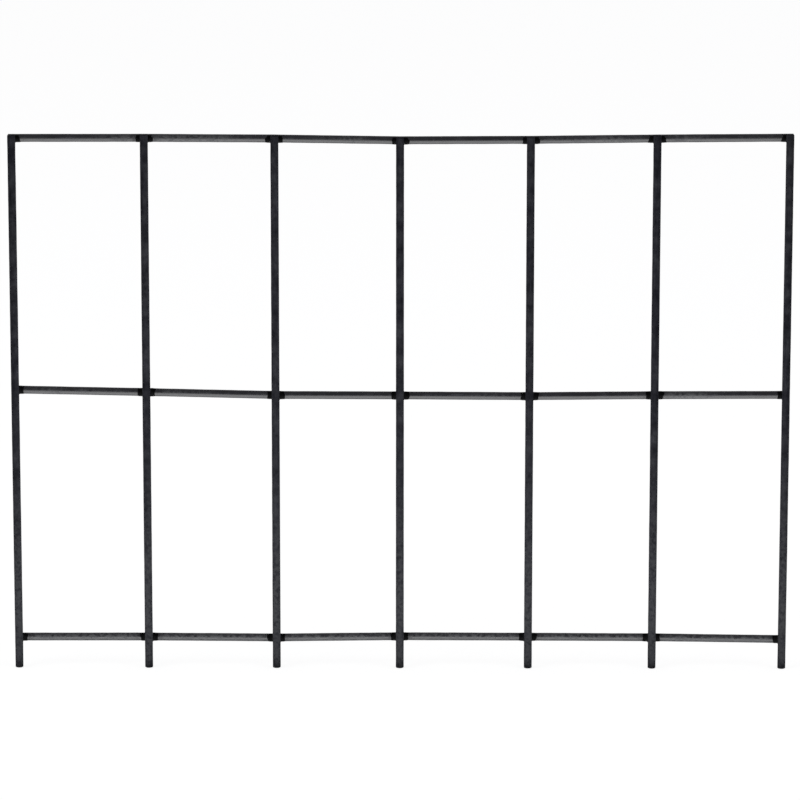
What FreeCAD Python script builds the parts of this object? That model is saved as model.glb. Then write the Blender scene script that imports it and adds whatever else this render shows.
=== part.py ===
import FreeCAD
import Part
import math
import os
from typing import NamedTuple

# A panel of welded mesh fence in black coated wire. Straight upright wires stand in front of horizontal
# wires, the rails. Every crossing is a pressed weld, with flash squeezed out along the front of the rail. Sizes
# are in millimetres. X runs to the right along the panel, Y from its front to its back and Z up. The origin is
# the centre of the middle upright's foot.

# Mesh
COLUMNS = 6
COLUMN_PITCH = 50.8
ROW_PITCH = 101.6

# Wire, measured over its coating
WIRE_DIAMETER = 3.25
FOOT_LENGTH = 10.0  # free end of an upright under the bottom rail
FOOT_BEVEL = 0.4  # coating drawn round the rim of a foot

# Welds
SET_DOWN = 0.65  # how far the weld presses an upright into a rail
FLASH_REACH = 1.9  # reach of the flash along a rail past the sides of the upright
FLASH_BACK = 0.35  # reach of the flash round the rail behind the back of the upright
FLASH_THICKNESS = 0.175  # thickness of the flash on the rail
FLASH_MARGIN = 0.15  # distance of the flash, at the panel's edges, inside the end of the pressed seam

# Distance of each upright to the right of its even place
UPRIGHT_DRIFT = (-0.4, 0.9, 1.4, 0.0, 0.6, -0.5, 0.8)


class Rail(NamedTuple):
    """One horizontal wire, with the unevenness that it was welded in."""

    name: str
    row: int  # mesh rows between it and the bottom rail
    drift: tuple[float, ...]  # distance of each crossing above its even height


TOP_RAIL = Rail("top", row=2, drift=(-0.5, -0.4, -0.6, -1.25, -1.0, -0.4, 0.0))
MIDDLE_RAIL = Rail("middle", row=1, drift=(0.05, -0.9, -2.0, -2.1, -2.3, -1.85, -1.65))
BOTTOM_RAIL = Rail("bottom", row=0, drift=(0.3, 0.4, 0.1, 0.7, 0.6, 0.45, -0.2))
RAILS = (TOP_RAIL, MIDDLE_RAIL, BOTTOM_RAIL)

WIRE_RADIUS = WIRE_DIAMETER / 2
RAIL_DEPTH = WIRE_DIAMETER - SET_DOWN  # from the uprights' axes back to the rails' axes
SEAM_REACH = math.sqrt(WIRE_RADIUS**2 - (RAIL_DEPTH / 2) ** 2)  # half the width of a pressed seam
BOTTOM_RAIL_HEIGHT = FOOT_LENGTH + WIRE_RADIUS
TO_RIGHT = FreeCAD.Vector(1, 0, 0)


def upright_place(index):
    """X of an upright's axis. The middle upright stands at zero."""
    middle = COLUMNS // 2
    drift = UPRIGHT_DRIFT[index % len(UPRIGHT_DRIFT)] - UPRIGHT_DRIFT[middle % len(UPRIGHT_DRIFT)]
    return (index - middle) * COLUMN_PITCH + drift


UPRIGHT_PLACES = [upright_place(index) for index in range(COLUMNS + 1)]


def crossing(rail, index):
    """Point of a rail's axis behind an upright."""
    height = BOTTOM_RAIL_HEIGHT + rail.row * ROW_PITCH + rail.drift[index % len(rail.drift)]
    return FreeCAD.Vector(UPRIGHT_PLACES[index], RAIL_DEPTH, height)


def upright_ends(index):
    """Foot and top of an upright, cut flush with the top of the top rail."""
    x = UPRIGHT_PLACES[index]
    return [FreeCAD.Vector(x, 0, 0), FreeCAD.Vector(x, 0, crossing(TOP_RAIL, index).z + WIRE_RADIUS)]


def rail_points(rail):
    """Points where a rail's straight spans meet, and its ends, flush with the panel's sides."""
    points = [crossing(rail, index) for index in range(COLUMNS + 1)]
    to_left = (points[0] - points[1]).normalize()
    to_right = (points[-1] - points[-2]).normalize()
    return [points[0] + to_left * WIRE_RADIUS, *points[1:-1], points[-1] + to_right * WIRE_RADIUS]


def make_span(start, end, start_facing, end_facing):
    """Round bar from start to end, cut there by planes that face the given ways along it."""
    overrun = (end - start).normalize() * WIRE_DIAMETER
    bar = Part.makeCylinder(WIRE_RADIUS, (end - start + overrun * 2).Length, start - overrun, overrun)
    before_start = Part.makeCylinder(WIRE_DIAMETER, 2 * WIRE_DIAMETER, start, -start_facing)
    after_end = Part.makeCylinder(WIRE_DIAMETER, 2 * WIRE_DIAMETER, end, end_facing)
    return bar.cut([before_start, after_end])


def make_wire(points):
    """Round wire of straight spans along points, mitred where two spans meet and cut square at its ends."""
    directions = [(end - start).normalize() for start, end in zip(points, points[1:])]
    mitres = [(one + other).normalize() for one, other in zip(directions, directions[1:])]
    facings = [directions[0], *mitres, directions[-1]]
    spans = [make_span(*places) for places in zip(points, points[1:], facings, facings[1:])]
    wire = spans[0]
    for span in spans[1:]:
        wire = wire.fuse(span)
    return wire


def make_upright(index):
    """Upright wire with a bevelled foot."""
    wire = make_wire(upright_ends(index))
    foot_rim = min((edge for edge in wire.Edges if edge.isClosed()), key=lambda edge: edge.CenterOfMass.z)
    return wire.makeChamfer(FOOT_BEVEL, [foot_rim])


def make_flash(rail, rail_wire, index, upright):
    """Flash of one weld: a saddle on the rail's front, seated on both wires and kept inside the panel's edges."""
    reach = WIRE_RADIUS + FLASH_REACH
    left_end = crossing(rail, index) - TO_RIGHT * reach
    saddle = Part.makeCylinder(WIRE_RADIUS + FLASH_THICKNESS, 2 * reach, left_end, TO_RIGHT)
    edge_reach = SEAM_REACH - FLASH_MARGIN
    room = Part.makeBox(
        UPRIGHT_PLACES[-1] - UPRIGHT_PLACES[0] + 2 * edge_reach,
        WIRE_RADIUS + FLASH_BACK,
        crossing(TOP_RAIL, index).z + edge_reach,
        FreeCAD.Vector(UPRIGHT_PLACES[0] - edge_reach, 0, 0),
    )
    return saddle.common(room).cut([upright, rail_wire])


def make_panel():
    """Every piece of the panel by its name."""
    uprights = [make_upright(index) for index in range(COLUMNS + 1)]
    pieces = {f"upright_wire_{number}": upright for number, upright in enumerate(uprights, start=1)}
    for rail in RAILS:
        rail_wire = make_wire(rail_points(rail))
        pieces[f"{rail.name}_rail_wire"] = rail_wire.cut(uprights)
        for index, upright in enumerate(uprights):
            pieces[f"{rail.name}_weld_{index + 1}"] = make_flash(rail, rail_wire, index, upright)
    return pieces


os.makedirs("parts", exist_ok=True)
for name, piece in make_panel().items():
    piece.exportStep(f"parts/{name}.step")
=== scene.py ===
"""Looks of a welded mesh fence panel: black coated wires, and the welds where they cross.

Lengths are in metres. X runs to the right along the panel, Y from its front to its back and Z up. The
uprights stand in front of the rails, and every crossing is a weld that the coat has pooled round.
"""
import logging
import math
from abc import ABC, abstractmethod
from dataclasses import dataclass
from enum import Enum
from typing import NamedTuple

import bmesh
import bpy
import numpy as np
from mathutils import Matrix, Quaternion, Vector


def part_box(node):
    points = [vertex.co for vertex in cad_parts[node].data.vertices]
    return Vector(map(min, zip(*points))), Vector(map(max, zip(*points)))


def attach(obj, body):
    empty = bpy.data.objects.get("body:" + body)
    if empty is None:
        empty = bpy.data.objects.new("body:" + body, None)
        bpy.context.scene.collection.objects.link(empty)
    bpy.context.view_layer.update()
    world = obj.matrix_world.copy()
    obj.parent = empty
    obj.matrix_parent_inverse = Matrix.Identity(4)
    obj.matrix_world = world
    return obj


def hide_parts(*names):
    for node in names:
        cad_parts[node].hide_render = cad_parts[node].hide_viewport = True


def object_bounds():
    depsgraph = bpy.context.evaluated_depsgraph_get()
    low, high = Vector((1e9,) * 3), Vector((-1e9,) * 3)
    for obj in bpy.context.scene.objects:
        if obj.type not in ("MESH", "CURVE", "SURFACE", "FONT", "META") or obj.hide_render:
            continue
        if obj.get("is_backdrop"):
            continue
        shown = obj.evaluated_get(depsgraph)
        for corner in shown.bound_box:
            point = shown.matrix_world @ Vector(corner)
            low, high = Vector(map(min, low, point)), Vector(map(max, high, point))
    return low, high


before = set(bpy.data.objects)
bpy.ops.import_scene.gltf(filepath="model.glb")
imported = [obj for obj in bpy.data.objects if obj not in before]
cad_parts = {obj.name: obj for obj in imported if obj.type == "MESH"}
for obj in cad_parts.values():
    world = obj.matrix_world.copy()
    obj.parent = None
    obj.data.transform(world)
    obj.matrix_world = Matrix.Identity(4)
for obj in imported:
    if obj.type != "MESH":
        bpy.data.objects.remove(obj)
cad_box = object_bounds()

MM = 0.001
FULL_TURN = 2 * math.pi
QUARTER_TURN = math.pi / 2
BODY = "root"
UPRIGHT_NODE = "upright_wire_"  # start of the name of every upright's CAD node
NEAR_WELD = "near_weld"  # attribute of a wire's points: how near they lie to a weld, which sets the painted shade beside the welds

Colour = tuple[float, float, float]
Place = tuple[float, float, float]
Scales = tuple[float, float, float]
Face = tuple[int, ...]

WHITE: Colour = (1.0, 1.0, 1.0)

# Sockets of a node that mixes colours, by their order
MIX_SHARE = 0
MIX_FIRST = 6
MIX_SECOND = 7
MIX_RESULT = 2

log = logging.getLogger("mesh_panel")


class Slot(Enum):
    """Material slots of the panel's record."""

    WIRE_COAT = "wire_coat"
    WELD_COAT = "weld_coat"


class RailRow(Enum):
    """The rails by their place in the panel, from the top down."""

    TOP = "top"
    MIDDLE = "middle"
    BOTTOM = "bottom"

    @property
    def rail_node(self) -> str:
        """CAD node of the rail."""
        return f"{self.value}_rail_wire"

    def weld_node(self, number: int) -> str:
        """CAD node of the rail's weld on an upright, which is counted from the left."""
        return f"{self.value}_weld_{number}"


class Lay(Enum):
    """Which way a wire runs, by the axis of the panel that it follows."""

    LEVEL = 0
    UPRIGHT = 2

    def scales(self, along: float, across: float) -> Scales:
        """Scales of a pattern that is drawn out along the wire."""
        return tuple(1 / along if axis == self.value else 1 / across for axis in range(3))


class Rise(NamedTuple):
    """The values at which a mask starts to rise from 0, and at which it is 1."""

    start: float
    full: float


class Term:
    """A value or colour inside a material, with which sums are written as Python expressions."""

    def __init__(self, nodes: "MaterialNodes", socket: bpy.types.NodeSocket | None) -> None:
        """Wraps an output socket of one of the nodes."""
        self.nodes = nodes
        self.socket = socket

    def math(self, operation: str, *values: "Term | float") -> "Term":
        """Result of a new Math node that works on the values in order."""
        return self.nodes.add("ShaderNodeMath", {"operation": operation}, dict(enumerate(values)))

    def __add__(self, other: "Term | float") -> "Term":
        """This value plus another."""
        return self.math("ADD", self, other)

    def __radd__(self, other: float) -> "Term":
        """A number plus this value."""
        return self.math("ADD", other, self)

    def __sub__(self, other: "Term | float") -> "Term":
        """This value less another."""
        return self.math("SUBTRACT", self, other)

    def __rsub__(self, other: float) -> "Term":
        """A number less this value."""
        return self.math("SUBTRACT", other, self)

    def __mul__(self, other: "Term | float") -> "Term":
        """This value times another."""
        return self.math("MULTIPLY", self, other)

    def __rmul__(self, other: float) -> "Term":
        """A number times this value."""
        return self.math("MULTIPLY", other, self)

    def __or__(self, other: "Term | float") -> "Term":
        """The greater of two masks."""
        return self.math("MAXIMUM", self, other)

    def __ror__(self, other: float) -> "Term":
        """The greater of a number and this mask."""
        return self.math("MAXIMUM", other, self)


class MaterialNodes:
    """The nodes of one material or of the world."""

    def __init__(self, owner: bpy.types.Material | bpy.types.World) -> None:
        """Starts with no node at all.

        Args:
            owner: The material or world that the nodes are in.
        """
        owner.use_nodes = True
        self.tree = owner.node_tree
        self.tree.nodes.clear()

    def add(
        self,
        kind: str,
        settings: dict[str, object] | None = None,
        sockets: dict[int | str, object] | None = None,
        output: int | str = 0,
    ) -> Term:
        """Adds one node.

        Args:
            kind: The node's type.
            settings: Its own settings, set first. A ramp's stops are pairs of a position and a colour.
            sockets: Values or links of its input sockets.
            output: The output socket to go on with.

        Returns:
            That output, or an empty term for a node without outputs.
        """
        node = self.tree.nodes.new(kind)
        for name, value in (settings or {}).items():
            if name == "stops":
                self.set_stops(node.color_ramp, value)
            else:
                setattr(node, name, value)
        for name, value in (sockets or {}).items():
            socket = node.inputs[name]
            if isinstance(value, Term):
                self.tree.links.new(value.socket, socket)
            else:
                socket.default_value = (*value, 1) if socket.type == "RGBA" else value
        return Term(self, node.outputs[output] if node.outputs else None)

    def set_stops(self, ramp: bpy.types.ColorRamp, stops: list[tuple[float, Colour]]) -> None:
        """Gives a ramp its stops.

        Args:
            ramp: A new ramp, which has two stops.
            stops: Two or more pairs of a position and a colour, in order.
        """
        for position, _ in stops[2:]:
            ramp.elements.new(position)
        for element, (position, colour) in zip(ramp.elements, stops):
            element.position = position
            element.color = (*colour, 1)

    def place(self) -> Term:
        """Place on the object, in metres of the panel's frame."""
        return self.add("ShaderNodeTexCoord", output="Object")

    def height(self, place: Term) -> Term:
        """Height of a place above the ground."""
        return self.add("ShaderNodeSeparateXYZ", {}, {0: place}, output="Z")

    def shift(self, place: Term, offset: Place) -> Term:
        """A place moved by an offset."""
        return self.add("ShaderNodeVectorMath", {"operation": "ADD"}, {0: place, 1: offset})

    def noise(self, place: Term, scales: Scales, detail: float) -> Term:
        """Cloudy pattern from 0 to 1, with so many clouds a metre along each axis and finer ones in them."""
        scaled = self.add("ShaderNodeVectorMath", {"operation": "MULTIPLY"}, {0: place, 1: scales})
        return self.add("ShaderNodeTexNoise", {}, {"Vector": scaled, "Scale": 1.0, "Detail": detail}, "Fac")

    def fade(self, value: Term, rise: Rise) -> Term:
        """Mask that rises smoothly with a value."""
        sockets = {"Value": value, "From Min": rise.start, "From Max": rise.full}
        return self.add("ShaderNodeMapRange", {"interpolation_type": "SMOOTHSTEP"}, sockets)

    def blend(self, share: Term, first: Term | Colour, second: Term | Colour) -> Term:
        """Mix of two colours that holds the given share of the second."""
        sockets = {MIX_SHARE: share, MIX_FIRST: first, MIX_SECOND: second}
        return self.add("ShaderNodeMix", {"data_type": "RGBA"}, sockets, output=MIX_RESULT)

    def end(self, surface: Term) -> None:
        """Makes a shader the material's surface."""
        self.add("ShaderNodeOutputMaterial", {}, {"Surface": surface})

    def end_coat(self, colour: Term, roughness: Term, shine: float, height: Term) -> None:
        """Makes a coat the material's surface.

        Args:
            colour: Colour of the coat.
            roughness: How dull it is.
            shine: How strongly it reflects.
            height: Height of its relief, in metres.
        """
        sockets = {
            "Base Color": colour,
            "Roughness": roughness,
            "Specular IOR Level": shine,
            "Normal": self.add("ShaderNodeBump", {}, {"Distance": 1.0, "Height": height}),
        }
        self.end(self.add("ShaderNodeBsdfPrincipled", {}, sockets))


PATTERN_MIDDLE = 0.5  # the value round which a cloudy pattern lies


def even_scales(size: float) -> Scales:
    """Scales of a pattern whose clouds are as large every way."""
    return (1 / size, 1 / size, 1 / size)


@dataclass(frozen=True)
class WireCoat:
    """Black coat of a wire: clouded, peeled like orange skin, lined along the wire, scuffed, dusty in
    patches, paler towards the ground, and darkened beside the welds with painted shade.
    """

    deep: Colour
    usual: Colour
    pale: Colour
    shine: float
    roughness: float
    weld_shade_share: float  # how much of the deep tone is painted beside a weld, as shade where the wires meet
    ground_paling: float  # how much paler and duller it grows towards the ground
    dust_patches: float  # how dusty the patches above that are
    patch_shift: Place  # moves the pattern of the patches
    # the dust fields below also set the paling towards the ground: its colour, specks and dulling
    dust: Colour = (0.042, 0.043, 0.047)
    paling_height: float = 140 * MM  # height at which the paling towards the ground ends
    dust_between: float = 0.3  # share of the dust that lies between its specks
    dust_on_specks: float = 1.7  # share of it that lies on them
    scuff: Colour = (0.043, 0.044, 0.056)
    scuff_share: float = 0.5
    roughness_spread: float = 0.4
    scuff_roughness: float = 0.2
    dust_roughness: float = 0.35
    tone_places: tuple[float, float, float] = (0.34, 0.5, 0.68)  # of the deep, usual and pale tones
    cloud_share: float = 0.7  # how much of the tone comes from the clouds, the rest being the lines'
    cloud_size: float = 3.5 * MM
    cloud_relief: float = 0.052 * MM
    line_length: float = 14 * MM
    line_width: float = 0.22 * MM
    line_relief: float = 0.0065 * MM
    line_rise: Rise = Rise(0.4, 0.6)
    scuff_length: float = 9 * MM
    scuff_width: float = 1.6 * MM
    scuff_rise: Rise = Rise(0.57, 0.67)
    patch_size: float = 60 * MM
    patch_rise: Rise = Rise(0.48, 0.64)
    speck_size: float = 1.5 * MM
    speck_rise: Rise = Rise(0.38, 0.62)
    peel_size: float = 0.55 * MM
    peel_relief: float = 0.0156 * MM

    def material(self, lay: Lay) -> bpy.types.Material:
        """Makes the coat for wires that run one way.

        Args:
            lay: Which way the wires run.

        Returns:
            The material.
        """
        material = bpy.data.materials.new(f"wire_coat_{lay.name.lower()}")
        nodes = MaterialNodes(material)
        place = nodes.place()
        clouds = nodes.noise(place, even_scales(self.cloud_size), detail=3)
        peel = nodes.noise(place, even_scales(self.peel_size), detail=1)
        lines = nodes.noise(place, lay.scales(self.line_length, self.line_width), detail=2)
        scuffs = nodes.noise(place, lay.scales(self.scuff_length, self.scuff_width), detail=4)
        scuffed = nodes.fade(scuffs, self.scuff_rise) * nodes.fade(lines, self.line_rise)
        # dust patches, and the paling towards the ground
        dusty = self.dust_and_paling_mask(nodes, place)
        near_weld = nodes.add("ShaderNodeAttribute", {"attribute_name": NEAR_WELD}, output="Fac")

        stops = list(zip(self.tone_places, (self.deep, self.usual, self.pale)))
        shade = self.cloud_share * clouds + (1 - self.cloud_share) * lines
        tone = nodes.add("ShaderNodeValToRGB", {"stops": stops}, {"Fac": shade})
        worn = nodes.blend(self.scuff_share * scuffed, tone, self.scuff)
        dulled = nodes.blend(dusty, worn, self.dust)
        # painted shade: the coat turns towards its deep tone beside every weld, where the wires meet
        colour = nodes.blend(self.weld_shade_share * near_weld, dulled, self.deep)
        cloudiness = self.roughness_spread * (clouds - PATTERN_MIDDLE)
        dulling = self.scuff_roughness * scuffed + self.dust_roughness * dusty
        height = self.peel_relief * peel + self.line_relief * lines + self.cloud_relief * clouds
        nodes.end_coat(colour, self.roughness + cloudiness + dulling, self.shine, height)
        return material

    def dust_and_paling_mask(self, nodes: MaterialNodes, place: Term) -> Term:
        """Works out where the coat turns paler and duller: towards the ground, and in dust patches above.

        Args:
            nodes: Nodes of the coat's material.
            place: Where on the wire it is.

        Returns:
            The mask, broken up into fine specks.
        """
        # paler towards the ground
        ground = nodes.fade(nodes.height(place), Rise(self.paling_height, 0))
        patches = nodes.noise(nodes.shift(place, self.patch_shift), even_scales(self.patch_size), detail=3)
        patched = nodes.fade(patches, self.patch_rise)
        specks = nodes.noise(place, even_scales(self.speck_size), detail=2)
        specked = nodes.fade(specks, self.speck_rise)
        amount = self.ground_paling * ground * ground | self.dust_patches * patched
        return amount * (self.dust_between + (self.dust_on_specks - self.dust_between) * specked)


# the same black coat as the rails', with paler tones: painted light on the uprights
LIT_UPRIGHT_COAT = WireCoat(
    deep=(0.0055, 0.0056, 0.0086),
    usual=(0.0165, 0.0167, 0.0215),
    pale=(0.036, 0.0365, 0.0425),
    shine=0.05,
    roughness=0.65,
    weld_shade_share=0.2,
    ground_paling=1.0,
    dust_patches=0.22,
    patch_shift=(1.5, 2.31, 0.11),
)
# the same black coat as the uprights', with darker tones: painted shade on the rails
SHADED_RAIL_COAT = WireCoat(
    deep=(0.0015, 0.0016, 0.004),
    usual=(0.0045, 0.0047, 0.0085),
    pale=(0.014, 0.0143, 0.019),
    shine=0.72,
    roughness=0.24,
    weld_shade_share=0.8,
    ground_paling=0.6,
    dust_patches=0.75,
    patch_shift=(0.9, 2.23, 1.28),
)


@dataclass(frozen=True)
class WeldCoat:
    """Coat pooled over a weld, with grains of flash under it: duller than on the wires, and blacker, which is
    painted shade of the crevice where the wires cross.
    """

    # both tones are blacker than the wires' coat: painted shade of the crossing
    deep: Colour = (0.0006, 0.0006, 0.0008)
    pale: Colour = (0.0022, 0.0022, 0.0026)
    roughness: float = 0.62
    roughness_spread: float = 0.25
    shine: float = 0.05
    cloud_size: float = 1.3 * MM
    cloud_rise: Rise = Rise(0.4, 0.7)
    cloud_relief: float = 0.06 * MM
    grain_size: float = 0.4 * MM
    grain_relief: float = 0.024 * MM

    def material(self) -> bpy.types.Material:
        """Makes the coat of every weld.

        Returns:
            The material.
        """
        material = bpy.data.materials.new("weld_coat")
        nodes = MaterialNodes(material)
        place = nodes.place()
        clouds = nodes.noise(place, even_scales(self.cloud_size), detail=3)
        grains = nodes.noise(place, even_scales(self.grain_size), detail=2)
        colour = nodes.blend(nodes.fade(clouds, self.cloud_rise), self.deep, self.pale)
        roughness = self.roughness + self.roughness_spread * (grains - PATTERN_MIDDLE)
        height = self.cloud_relief * clouds + self.grain_relief * grains
        nodes.end_coat(colour, roughness, self.shine, height)
        return material


@dataclass(frozen=True)
class FloorWhite:
    """Matt white of the floor, which the camera and mirrors see as white with the panel's shadow on it."""

    colour: Colour = (0.86, 0.86, 0.86)
    shown_colour: Colour = (0.344, 0.344, 0.344)  # matt part of what they see, which takes the shadow
    shown_glow: float = 0.864  # strength of its other part, which makes it white outside the shadow

    def material(self) -> bpy.types.Material:
        """Makes the floor's finish.

        Returns:
            The material.
        """
        material = bpy.data.materials.new("floor_white")
        nodes = MaterialNodes(material)
        camera = nodes.add("ShaderNodeLightPath", output="Is Camera Ray")
        glossy = nodes.add("ShaderNodeLightPath", output="Is Glossy Ray")
        through = nodes.add("ShaderNodeLightPath", output="Is Transmission Ray")
        matt = nodes.add("ShaderNodeBsdfDiffuse", {}, {"Color": self.colour})
        shadowed = nodes.add("ShaderNodeBsdfDiffuse", {}, {"Color": self.shown_colour})
        glow = nodes.add("ShaderNodeEmission", {}, {"Color": WHITE, "Strength": self.shown_glow})
        shown = nodes.add("ShaderNodeAddShader", {}, {0: shadowed, 1: glow})
        nodes.end(nodes.add("ShaderNodeMixShader", {}, {0: camera | glossy | through, 1: matt, 2: shown}))
        return material


class Shape(NamedTuple):
    """A mesh before it is an object."""

    points: np.ndarray
    faces: list[Face]


def smooth_step(values: np.ndarray, low: float, high: float) -> np.ndarray:
    """Rises smoothly from 0 where a value is at low to 1 where it is at high."""
    share = np.clip((values - low) / (high - low), 0, 1)
    return share * share * (3 - 2 * share)


def unit(vectors: np.ndarray) -> np.ndarray:
    """The same directions, each with a length of one."""
    return vectors / np.linalg.norm(vectors, axis=1, keepdims=True)


def angles_round(count: int) -> np.ndarray:
    """Evenly spaced angles of a full turn."""
    return np.arange(count) * FULL_TURN / count


def ring_faces(starts: list[tuple[int, int]], size: int) -> list[Face]:
    """Faces between pairs of closed rings, each given by the number of its first point."""
    steps = [(step, (step + 1) % size) for step in range(size)]
    return [(one + a, one + b, other + b, other + a) for one, other in starts for a, b in steps]


def make_piece(name: str, shape: Shape, node: str, slot: Slot) -> bpy.types.Object:
    """Makes an object that stands for a CAD node and rides with it.

    Args:
        name: The piece's name.
        shape: Its mesh, in the panel's frame.
        node: The CAD node that it stands for.
        slot: Material slot that its finish belongs to; not used.

    Returns:
        The object, still without a material.
    """
    mesh = bpy.data.meshes.new(name)
    mesh.from_pydata(shape.points.tolist(), [], shape.faces)
    sorter = bmesh.new()
    sorter.from_mesh(mesh)
    bmesh.ops.recalc_face_normals(sorter, faces=sorter.faces)
    sorter.to_mesh(mesh)
    sorter.free()
    mesh.shade_smooth()
    piece = bpy.data.objects.new(name, mesh)
    bpy.context.scene.collection.objects.link(piece)
    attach(piece, BODY)
    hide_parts(node)
    return piece


@dataclass(frozen=True)
class PanelLayout:
    """Places of the wires and of their crossings."""

    wire_radius: float
    rail_depth: float  # from the uprights' axes back to the rails' axes
    flash_reach: float  # how far the flash of a weld runs along the rail from the upright's axis
    edge_reach: float  # how far it runs towards the panel's side edges
    upright_places: tuple[float, ...]
    crossing_heights: dict[RailRow, tuple[float, ...]]

    @classmethod
    def from_cad(cls) -> "PanelLayout":
        """Reads the places from the boxes of the CAD nodes.

        Returns:
            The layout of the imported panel.
        """
        numbers = range(1, 1 + sum(name.startswith(UPRIGHT_NODE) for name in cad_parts))
        uprights = [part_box(f"{UPRIGHT_NODE}{number}") for number in numbers]
        upright_places = tuple((low.x + high.x) / 2 for low, high in uprights)
        rail_low, rail_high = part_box(RailRow.MIDDLE.rail_node)
        edge_weld_low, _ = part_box(RailRow.MIDDLE.weld_node(1))
        weld_low, weld_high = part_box(RailRow.MIDDLE.weld_node(2))
        weld_drop = (weld_high.z - weld_low.z) / 2
        return cls(
            wire_radius=(uprights[0][1].y - uprights[0][0].y) / 2,
            rail_depth=(rail_low.y + rail_high.y) / 2,
            flash_reach=(weld_high.x - weld_low.x) / 2,
            edge_reach=upright_places[0] - edge_weld_low.x,
            upright_places=upright_places,
            crossing_heights={
                row: tuple(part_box(row.weld_node(number))[0].z + weld_drop for number in numbers)
                for row in RailRow
            },
        )

    @property
    def numbers(self) -> range:
        """Numbers of the uprights, from left to right."""
        return range(1, 1 + len(self.upright_places))

    def weld_heights(self, number: int) -> np.ndarray:
        """Heights of one upright's crossings."""
        return np.array([heights[number - 1] for heights in self.crossing_heights.values()])

    def rail_heights(self, row: RailRow, places: np.ndarray) -> np.ndarray:
        """Works out how high a rail's axis runs, straight from crossing to crossing and on to its ends.

        Args:
            row: Which rail it is.
            places: Places along the rail.

        Returns:
            The axis's height at each place.
        """
        crossings = np.array(self.upright_places)
        heights = np.array(self.crossing_heights[row])
        slopes = np.diff(heights) / np.diff(crossings)
        spans = np.clip(np.searchsorted(crossings, places) - 1, 0, len(slopes) - 1)
        return heights[spans] + slopes[spans] * (places - crossings[spans])


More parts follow.
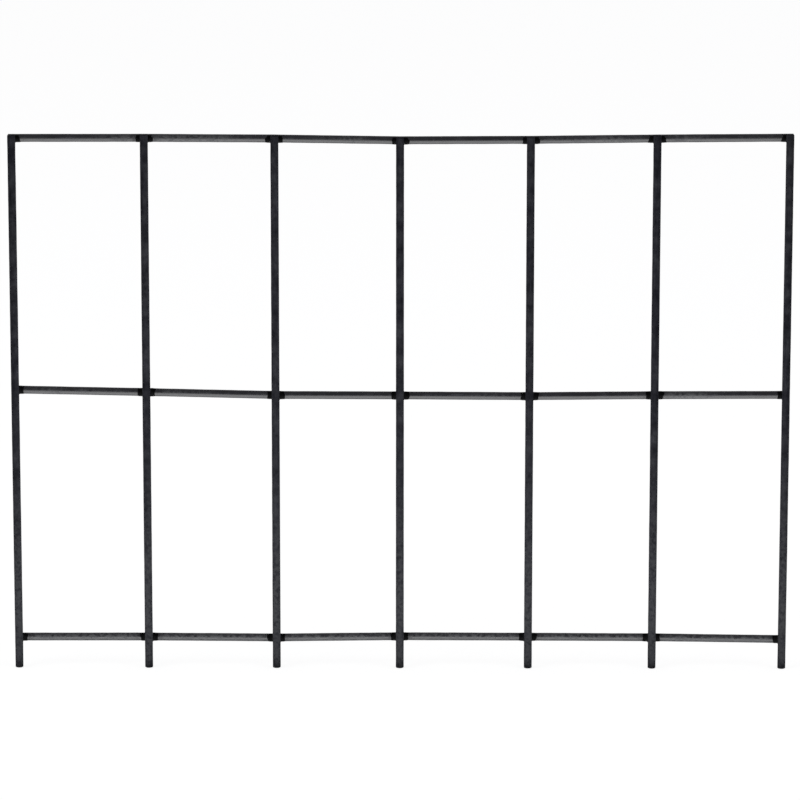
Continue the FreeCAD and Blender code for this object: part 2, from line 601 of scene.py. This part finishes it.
@dataclass(frozen=True)
class CoatedWire:
    """Form of a coated wire: round, a little uneven in its coat, with the coat rolled round its cut ends."""

    radius: float
    sides: int = 36
    ring_step: float = 1.3 * MM
    end_rounding: float = 0.36 * MM
    end_dome: float = 0.07 * MM
    rounding_rings: int = 6
    dome_rings: int = 3
    coat_dip: float = 0.07 * MM
    wave_lengths: tuple[float, ...] = (43 * MM, 17 * MM, 7.5 * MM)
    wave_lean: float = 0.4  # how much weaker a wave is a quarter of the way round from where it is strongest
    # reach of the painted shade beside each weld, and the length over which it fades out
    weld_shade_reach: float = 3.2 * MM
    weld_shade_fade: float = 4 * MM

    def end_profile(self) -> tuple[np.ndarray, np.ndarray]:
        """Works out the outline of an end.

        Returns:
            How far each ring lies inside the end, and its radius, from the middle of the end outwards.
        """
        face_radius = self.radius - self.end_rounding
        dome = np.arange(1, self.dome_rings + 1) / self.dome_rings
        turn = np.linspace(0, QUARTER_TURN, self.rounding_rings + 1)[1:]
        rim_insets = self.end_dome + self.end_rounding * (1 - np.cos(turn))
        rim_radii = face_radius + self.end_rounding * np.sin(turn)
        insets = np.concatenate([self.end_dome * dome**2, rim_insets])
        radii = np.concatenate([face_radius * dome, rim_radii])
        return insets, radii

    def rings(self, start: float, end: float, extra: np.ndarray) -> tuple[np.ndarray, np.ndarray]:
        """Works out where the rings of points lie along the wire.

        Args:
            start: Where the wire starts along its axis.
            end: Where it ends.
            extra: Places of further rings.

        Returns:
            The place of each ring, and its radius.
        """
        insets, radii = self.end_profile()
        body_start = start + insets[-1]
        body_end = end - insets[-1]
        count = round((body_end - body_start) / self.ring_step)
        even = np.linspace(body_start, body_end, count)[1:-1]
        body = np.union1d(even, extra[(extra > body_start) & (extra < body_end)])
        places = np.concatenate([start + insets, body, end - insets[::-1]])
        return places, np.concatenate([radii, np.full(len(body), self.radius), radii[::-1]])

    def coat_dips(self, places: np.ndarray, turns: np.ndarray, seed: int) -> np.ndarray:
        """Works out how uneven the coat is.

        Args:
            places: Places of the rings along the wire.
            turns: Angles of the points round a ring.
            seed: Number that sets this wire's unevenness.

        Returns:
            Depth of each ring's points under the full thickness of the coat.
        """
        draws = np.random.default_rng(seed)
        waves = np.zeros((len(places), len(turns)))
        for length in self.wave_lengths:
            phase, heading = draws.uniform(0, FULL_TURN, 2)
            along = np.sin(FULL_TURN * places / length + phase)
            around = 1 - self.wave_lean + self.wave_lean * np.cos(turns - heading)
            waves += along[:, None] * around[None, :] / len(self.wave_lengths)
        return self.coat_dip * (1 + waves) / 2

    def sweep(self, axis: np.ndarray, radii: np.ndarray, lay: Lay, seed: int) -> Shape:
        """Makes the wire's skin round its axis.

        Args:
            axis: Point of the axis at each ring.
            radii: Radius of each ring.
            lay: Which way the wire runs.
            seed: Number that sets the coat's unevenness.

        Returns:
            A closed skin. Its points go ring by ring, and the last two close its ends.
        """
        turns = angles_round(self.sides)
        run = lay.value
        dips = self.coat_dips(axis[:, run], turns, seed) * (radii / self.radius)[:, None]
        reach = radii[:, None] - dips
        rings = np.repeat(axis[:, None, :], self.sides, axis=1)
        rings[:, :, (run + 1) % 3] += reach * np.cos(turns)
        rings[:, :, (run + 2) % 3] += reach * np.sin(turns)
        insets, _ = self.end_profile()
        tips = axis[[0, -1]].copy()
        tips[:, run] += [-insets[0], insets[0]]
        points = np.concatenate([rings.reshape(-1, 3), tips])

        last = (len(axis) - 1) * self.sides
        skin = ring_faces([(start, start + self.sides) for start in range(0, last, self.sides)], self.sides)
        sides = [(side, (side + 1) % self.sides) for side in range(self.sides)]
        first_end = [(b, a, len(points) - 2) for a, b in sides]
        last_end = [(last + a, last + b, len(points) - 1) for a, b in sides]
        return Shape(points, skin + first_end + last_end)

    def mark_welds(self, piece: bpy.types.Object, lay: Lay, crossings: np.ndarray) -> None:
        """Writes how near each point lies to a weld, which sets how much painted shade it gets.

        Args:
            piece: A built wire.
            lay: Which way it runs.
            crossings: Places of its crossings along its axis.
        """
        points = np.array([vertex.co for vertex in piece.data.vertices])
        distance = np.abs(points[:, [lay.value]] - crossings[None, :]).min(axis=1)
        nearness = 1 - smooth_step(distance, self.weld_shade_reach, self.weld_shade_reach + self.weld_shade_fade)
        attribute = piece.data.attributes.new(NEAR_WELD, "FLOAT", "POINT")
        attribute.data.foreach_set("value", nearness.astype(np.float32))


class SubAssembly(ABC):
    """Pieces of one kind, which are built and then dressed in one finish."""

    @abstractmethod
    def build(self) -> list[bpy.types.Object]:
        """Makes every piece, still without a finish."""

    @abstractmethod
    def material(self) -> bpy.types.Material:
        """Makes the finish."""

    def dress(self, pieces: list[bpy.types.Object]) -> None:
        """Gives the pieces their finish.

        Args:
            pieces: What build made.
        """
        material = self.material()
        for piece in pieces:
            piece.data.materials.append(material)


@dataclass(frozen=True)
class Uprights(SubAssembly):
    """The upright wires, which stand on their feet in front of the rails."""

    layout: PanelLayout
    wire: CoatedWire
    coat: WireCoat

    def build(self) -> list[bpy.types.Object]:
        """Makes every upright wire."""
        return [self.build_one(number) for number in self.layout.numbers]

    def build_one(self, number: int) -> bpy.types.Object:
        """Makes one upright wire.

        Args:
            number: Its number, from left to right.

        Returns:
            The wire, still without a finish.
        """
        node = f"{UPRIGHT_NODE}{number}"
        low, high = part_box(node)
        heights, radii = self.wire.rings(low.z, high.z, extra=np.empty(0))
        axis = np.zeros((len(heights), 3))
        axis[:, 0] = self.layout.upright_places[number - 1]
        axis[:, 2] = heights
        shape = self.wire.sweep(axis, radii, Lay.UPRIGHT, seed=number)
        piece = make_piece(f"coated_upright_{number}", shape, node, Slot.WIRE_COAT)
        self.wire.mark_welds(piece, Lay.UPRIGHT, self.layout.weld_heights(number))
        return piece

    def material(self) -> bpy.types.Material:
        """Makes the uprights' coat."""
        return self.coat.material(Lay.UPRIGHT)


@dataclass(frozen=True)
class Rails(SubAssembly):
    """The level wires behind the uprights, each a little uneven and with a pressed seat for every upright."""

    layout: PanelLayout
    wire: CoatedWire
    coat: WireCoat
    seat_ring_step: float = 0.14 * MM
    first_seed: int = 101

    def build(self) -> list[bpy.types.Object]:
        """Makes every rail."""
        return [self.build_one(row, self.first_seed + order) for order, row in enumerate(RailRow)]

    def build_one(self, row: RailRow, seed: int) -> bpy.types.Object:
        """Makes one rail.

        Args:
            row: Which rail it is.
            seed: Number that sets its coat's unevenness.

        Returns:
            The rail, still without a finish.
        """
        low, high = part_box(row.rail_node)
        crossings = np.array(self.layout.upright_places)
        places, radii = self.wire.rings(low.x, high.x, extra=self.seat_rings(crossings))
        axis = np.zeros((len(places), 3))
        axis[:, 0] = places
        axis[:, 1] = self.layout.rail_depth
        axis[:, 2] = self.layout.rail_heights(row, places)
        shape = self.wire.sweep(axis, radii, Lay.LEVEL, seed)
        self.press_seats(shape.points, crossings)
        piece = make_piece(f"coated_{row.value}_rail", shape, row.rail_node, Slot.WIRE_COAT)
        self.wire.mark_welds(piece, Lay.LEVEL, crossings)
        return piece

    def seat_rings(self, crossings: np.ndarray) -> np.ndarray:
        """Works out where the close rings lie that form the seats.

        Args:
            crossings: Places of the uprights along the rail.

        Returns:
            The rings' places.
        """
        reach = self.layout.wire_radius
        offsets = np.arange(-reach, reach, self.seat_ring_step)
        return (crossings[:, None] + offsets[None, :]).ravel()

    def press_seats(self, points: np.ndarray, crossings: np.ndarray) -> None:
        """Presses the rail's front back to the surface of every upright.

        Args:
            points: The rail's points, which are moved.
            crossings: Places of the uprights along it.
        """
        for x in crossings:
            offsets = points[:, 0] - x
            pressed = (np.abs(offsets) < self.layout.wire_radius) & (points[:, 1] < self.layout.rail_depth)
            seat = np.sqrt(self.layout.wire_radius**2 - offsets[pressed] ** 2)
            points[pressed, 1] = np.maximum(points[pressed, 1], seat)

    def material(self) -> bpy.types.Material:
        """Makes the rails' coat."""
        return self.coat.material(Lay.LEVEL)


class WeldForm(NamedTuple):
    """How one weld grows, shrinks and runs out in each direction from its crossing."""

    headings: np.ndarray  # the directions, as angles from +X towards +Z
    swell: np.ndarray  # size of the weld, as a share of its usual size
    room: np.ndarray  # share of the fillet that there is room for inside the panel's cut edges
    spread: np.ndarray  # share of the film that there is on the rail
    reach: np.ndarray  # how far the film may run along the rail from the upright's axis


@dataclass(frozen=True)
class Welds(SubAssembly):
    """The welds: each a fillet of flash that rolls from the upright onto the rail and runs out along it."""

    layout: PanelLayout
    coat: WeldCoat
    fillet: float = 1.0 * MM
    edge_fillet: float = 0.06 * MM  # fillet that is left towards a cut edge of the panel
    edge_turn: float = 0.55  # sine of the slope towards a cut edge from which no more is left
    film_lift: float = 0.09 * MM  # thickness of the flash that runs out along the rail
    film_start: float = 0.15  # cosine of the slope along the rail at which the film starts
    film_full: float = 0.4  # cosine from which it is there in full
    film_roll: int = 3  # power of the film's run by which it drops to the rail
    unevenness: float = 0.11  # share by which a weld grows and shrinks round its crossing
    sink: float = 0.03 * MM  # depth of a weld's edges under the wires' surfaces
    edge_sink: float = 0.13 * MM  # the same towards a cut edge, where the wires are rounded
    headings: int = 84
    fillet_steps: int = 10
    film_steps: int = 3
    ripples: int = 4
    first_seed: int = 201
    seeds_for_rail: int = 10  # seeds kept for the welds of one rail

    def build(self) -> list[bpy.types.Object]:
        """Makes every weld, rail by rail."""
        return [self.build_one(row, number) for row in RailRow for number in self.layout.numbers]

    def build_one(self, row: RailRow, number: int) -> bpy.types.Object:
        """Makes one weld.

        Args:
            row: The rail that it is on.
            number: The upright that it is on, from left to right.

        Returns:
            The weld, still without a finish.
        """
        form = self.form(row, number)
        fillet = self.fillet_loops(form)
        loops = [self.hidden_loop(form), *fillet, *self.film_loops(form, fillet[-1])]
        points = np.concatenate(loops) + [self.layout.upright_places[number - 1], 0, 0]
        points[:, 2] += self.layout.rail_heights(row, points[:, 0])
        starts = [loop * self.headings for loop in range(len(loops))]
        pairs = list(zip(starts, starts[1:] + starts[:1]))
        shape = Shape(points, ring_faces(pairs, self.headings))
        return make_piece(f"{row.value}_weld_fillet_{number}", shape, row.weld_node(number), Slot.WELD_COAT)

    def form(self, row: RailRow, number: int) -> WeldForm:
        """Works out the form of one weld.

        Args:
            row: The rail that it is on.
            number: The upright that it is on, from left to right.

        Returns:
            The form, in evenly spaced directions.
        """
        headings = angles_round(self.headings)
        swell = self.swell(row, number, headings)
        outward = {self.layout.numbers[0]: -1, self.layout.numbers[-1]: 1}.get(number, 0)
        to_side = outward * np.cos(headings)
        to_top = (row is RailRow.TOP) * np.sin(headings)
        beside = 1 - smooth_step(to_side, 0, self.edge_turn)
        above = 1 - smooth_step(to_top, 0, self.edge_turn)
        along = smooth_step(np.abs(np.cos(headings)), self.film_start, self.film_full)
        radius = self.layout.wire_radius
        reach = radius + (self.layout.flash_reach - radius) * swell
        return WeldForm(
            headings,
            swell,
            room=beside * above,
            spread=beside * along,
            reach=np.where(to_side > 0, self.layout.edge_reach, reach),
        )

    def swell(self, row: RailRow, number: int, headings: np.ndarray) -> np.ndarray:
        """Works out how a weld grows and shrinks round its crossing.

        Args:
            row: The rail that it is on.
            number: The upright that it is on.
            headings: Directions from the crossing, as angles from +X towards +Z.

        Returns:
            The weld's size in each direction, as a share of the usual size.
        """
        rail_seed = self.first_seed + self.seeds_for_rail * list(RailRow).index(row)
        draws = np.random.default_rng(rail_seed + number)
        ripple = np.zeros_like(headings)
        for turns in range(1, self.ripples + 1):
            ripple += np.cos(turns * headings + draws.uniform(0, FULL_TURN)) / turns
        return 1 + self.unevenness * ripple

    def sinks(self, form: WeldForm) -> np.ndarray:
        """Depth of the weld's edges under the wires' surfaces in each direction."""
        return self.edge_sink + (self.sink - self.edge_sink) * form.room

    def hidden_loop(self, form: WeldForm) -> np.ndarray:
        """Line inside both wires, twice as deep as the weld's edges, on which it closes out of sight."""
        inside = self.layout.wire_radius - 2 * self.sinks(form)
        return self.touching(form.headings, inside, inside)

    def touching(self, headings: np.ndarray, from_upright: np.ndarray, from_rail: np.ndarray) -> np.ndarray:
        """Works out points that lie at given distances from the axes of both wires.

        Args:
            headings: Directions of the points from the crossing, as angles from +X towards +Z.
            from_upright: Distance of each point from the upright's axis.
            from_rail: Distance of each point from the rail's axis.

        Returns:
            The points, measured from the place on the upright's axis in front of the rail's axis.
        """
        depth = self.layout.rail_depth
        steepness = np.tan(headings) ** 2
        whole = steepness * from_upright**2 - from_rail**2 + depth**2
        back = whole / (depth + np.sqrt(depth**2 + (steepness - 1) * whole))
        side = np.sqrt(np.maximum(from_upright**2 - back**2, 0)) * np.sign(np.cos(headings))
        rise = np.sqrt(np.maximum(from_rail**2 - (depth - back) ** 2, 0)) * np.sign(np.sin(headings))
        return np.stack([side, back, rise], axis=1)

    def fillet_loops(self, form: WeldForm) -> list[np.ndarray]:
        """Rolls a ball round the crossing and keeps the hollow that it leaves.

        Args:
            form: The weld's form.

        Returns:
            Loops of points, from the upright to the top of the film on the rail.
        """
        balls = self.edge_fillet + (self.fillet - self.edge_fillet) * form.swell * form.room
        from_upright = self.layout.wire_radius - self.sinks(form) + balls
        from_rail = self.layout.wire_radius + self.film_lift * form.spread + balls
        centres = self.touching(form.headings, from_upright, from_rail)
        to_upright = unit(centres * [-1, -1, 0])
        to_rail = unit((centres - [0, self.layout.rail_depth, 0]) * [0, -1, -1])
        opening = np.arccos(np.sum(to_upright * to_rail, axis=1))[:, None]
        loops = []
        for share in np.linspace(0, 1, self.fillet_steps + 1):
            towards = np.sin((1 - share) * opening) * to_upright + np.sin(share * opening) * to_rail
            loops.append(centres + balls[:, None] * towards / np.sin(opening))
        return loops

    def film_loops(self, form: WeldForm, edge: np.ndarray) -> list[np.ndarray]:
        """Carries the fillet's edge out along the rail as a thin film.

        Args:
            form: The weld's form.
            edge: Loop of points on which the fillet reaches the rail.

        Returns:
            Loops of points, the last of them under the rail's surface.
        """
        outward = unit((edge - [0, self.layout.rail_depth, 0]) * [0, 1, 1])
        runs = np.maximum(form.reach - np.abs(edge[:, 0]), 0) * form.spread * np.sign(np.cos(form.headings))
        drops = self.film_lift * form.spread + self.sinks(form)
        loops = []
        for share in np.linspace(0, 1, self.film_steps + 1)[1:]:
            run = (runs * share)[:, None] * [1, 0, 0]
            loops.append(edge + run - (drops * share**self.film_roll)[:, None] * outward)
        return loops

    def material(self) -> bpy.types.Material:
        """Makes the welds' coat."""
        return self.coat.material()


@dataclass(frozen=True)
class Viewpoint:
    """Camera in front of the panel and a little above it."""

    target: Place = (0.03 * MM, 0.0, 109.8 * MM)
    azimuth: float = math.radians(0.27)
    elevation: float = math.radians(11.76)
    roll: float = math.radians(0.035)
    distance: float = 1.915
    focal_length: float = 217.0  # in millimetres, as is the sensor's width
    sensor_width: float = 36.0

    def build(self) -> None:
        """Makes the scene's camera."""
        lens = bpy.data.cameras.new("camera")
        lens.lens = self.focal_length
        lens.sensor_width = self.sensor_width
        camera = bpy.data.objects.new("camera", lens)
        level = math.cos(self.elevation)
        to_right = math.sin(self.azimuth) * level
        to_front = math.cos(self.azimuth) * level
        back = Vector((to_right, -to_front, math.sin(self.elevation)))
        camera.location = Vector(self.target) + back * self.distance
        camera.rotation_mode = "QUATERNION"
        camera.rotation_quaternion = back.to_track_quat("Z", "Y") @ Quaternion((0, 0, 1), self.roll)
        bpy.context.scene.collection.objects.link(camera)
        bpy.context.scene.camera = camera


@dataclass(frozen=True)
class Softbox:
    """A flat soft light."""

    name: str
    place: Place
    aim: Place
    width: float
    height: float
    power: float

    def build(self) -> None:
        """Makes the light, which the camera doesn't see."""
        light = bpy.data.lights.new(self.name, "AREA")
        light.shape = "RECTANGLE"
        light.size = self.width
        light.size_y = self.height
        light.energy = self.power
        softbox = bpy.data.objects.new(self.name, light)
        softbox.location = self.place
        away = Vector(self.place) - Vector(self.aim)
        softbox.rotation_mode = "QUATERNION"
        softbox.rotation_quaternion = away.to_track_quat("Z", "Y")
        softbox.visible_camera = False
        bpy.context.scene.collection.objects.link(softbox)


SOFTBOX_AIM: Place = (0.0, 0.0, 0.1)  # near the middle of the panel


@dataclass(frozen=True)
class Studio:
    """Plain pale floor, turned up all round into a low backdrop, and soft light over it."""

    floor_white: FloorWhite = FloorWhite()
    floor_radius: float = 6.0
    backdrop_height: float = 1.0  # also the radius in which the floor turns up
    floor_sides: int = 96
    backdrop_steps: int = 16
    sky: Colour = (0.3, 0.3, 0.31)
    softboxes: tuple[Softbox, ...] = (
        Softbox("left_softbox", (-1.75, -1.1, 1.6), aim=SOFTBOX_AIM, width=1.3, height=1.3, power=9.5),
        Softbox("right_softbox", (1.75, -1.1, 1.6), aim=SOFTBOX_AIM, width=1.3, height=1.3, power=6.5),
        Softbox("floor_glow", (0, -0.306, 1 * MM), aim=(0, -0.306, 1), width=0.42, height=0.6, power=1.58),
    )

    def build(self) -> None:
        """Makes the floor, the sky and the lights."""
        self.build_floor()
        self.build_sky()
        for softbox in self.softboxes:
            softbox.build()

    def build_floor(self) -> None:
        """Makes the floor that the panel's feet stand on, and the backdrop that its rim turns up into."""
        turns = angles_round(self.floor_sides)
        bends = np.linspace(0, QUARTER_TURN, self.backdrop_steps + 1)
        radii = self.floor_radius + self.backdrop_height * np.sin(bends)
        heights = np.outer(self.backdrop_height * (1 - np.cos(bends)), np.ones(self.floor_sides))
        rings = np.stack([np.outer(radii, np.cos(turns)), np.outer(radii, np.sin(turns)), heights], axis=2)
        starts = range(0, self.backdrop_steps * self.floor_sides, self.floor_sides)
        backdrop = ring_faces([(start + self.floor_sides, start) for start in starts], self.floor_sides)
        mesh = bpy.data.meshes.new("floor")
        mesh.from_pydata(rings.reshape(-1, 3).tolist(), [], [tuple(range(self.floor_sides)), *backdrop])
        mesh.shade_smooth()
        mesh.materials.append(self.floor_white.material())
        floor = bpy.data.objects.new("floor", mesh)
        bpy.context.scene.collection.objects.link(floor)
        floor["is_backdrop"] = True

    def build_sky(self) -> None:
        """Makes the even light from all round."""
        world = bpy.data.worlds.new("sky")
        bpy.context.scene.world = world
        nodes = MaterialNodes(world)
        sky = nodes.add("ShaderNodeBackground", {}, {"Color": self.sky, "Strength": 1.0})
        nodes.add("ShaderNodeOutputWorld", {}, {"Surface": sky})


def write_sizes() -> None:
    """Works out the boxes of the CAD model and of the finished panel."""
    bpy.context.view_layer.update()
    boxes = {"cad": cad_box, "visual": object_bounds()}
    {name: [list(corner) for corner in box] for name, box in boxes.items()}


def main() -> None:
    """Builds the panel's pieces, dresses them, reports each one and sets the studio up."""
    logging.basicConfig(level=logging.INFO, format="%(message)s")
    bpy.context.scene.view_settings.view_transform = "Standard"
    layout = PanelLayout.from_cad()
    wire = CoatedWire(layout.wire_radius)
    uprights = Uprights(layout, wire, LIT_UPRIGHT_COAT)
    rails = Rails(layout, wire, SHADED_RAIL_COAT)
    welds = Welds(layout, WeldCoat())
    for part in (uprights, rails, welds):
        pieces = part.build()
        part.dress(pieces)
        for piece in pieces:
            log.info("%s: %d faces in %s", piece.name, len(piece.data.polygons), piece.active_material.name)
    Studio().build()
    Viewpoint().build()
    write_sizes()


if __name__ == "__main__":
    main()
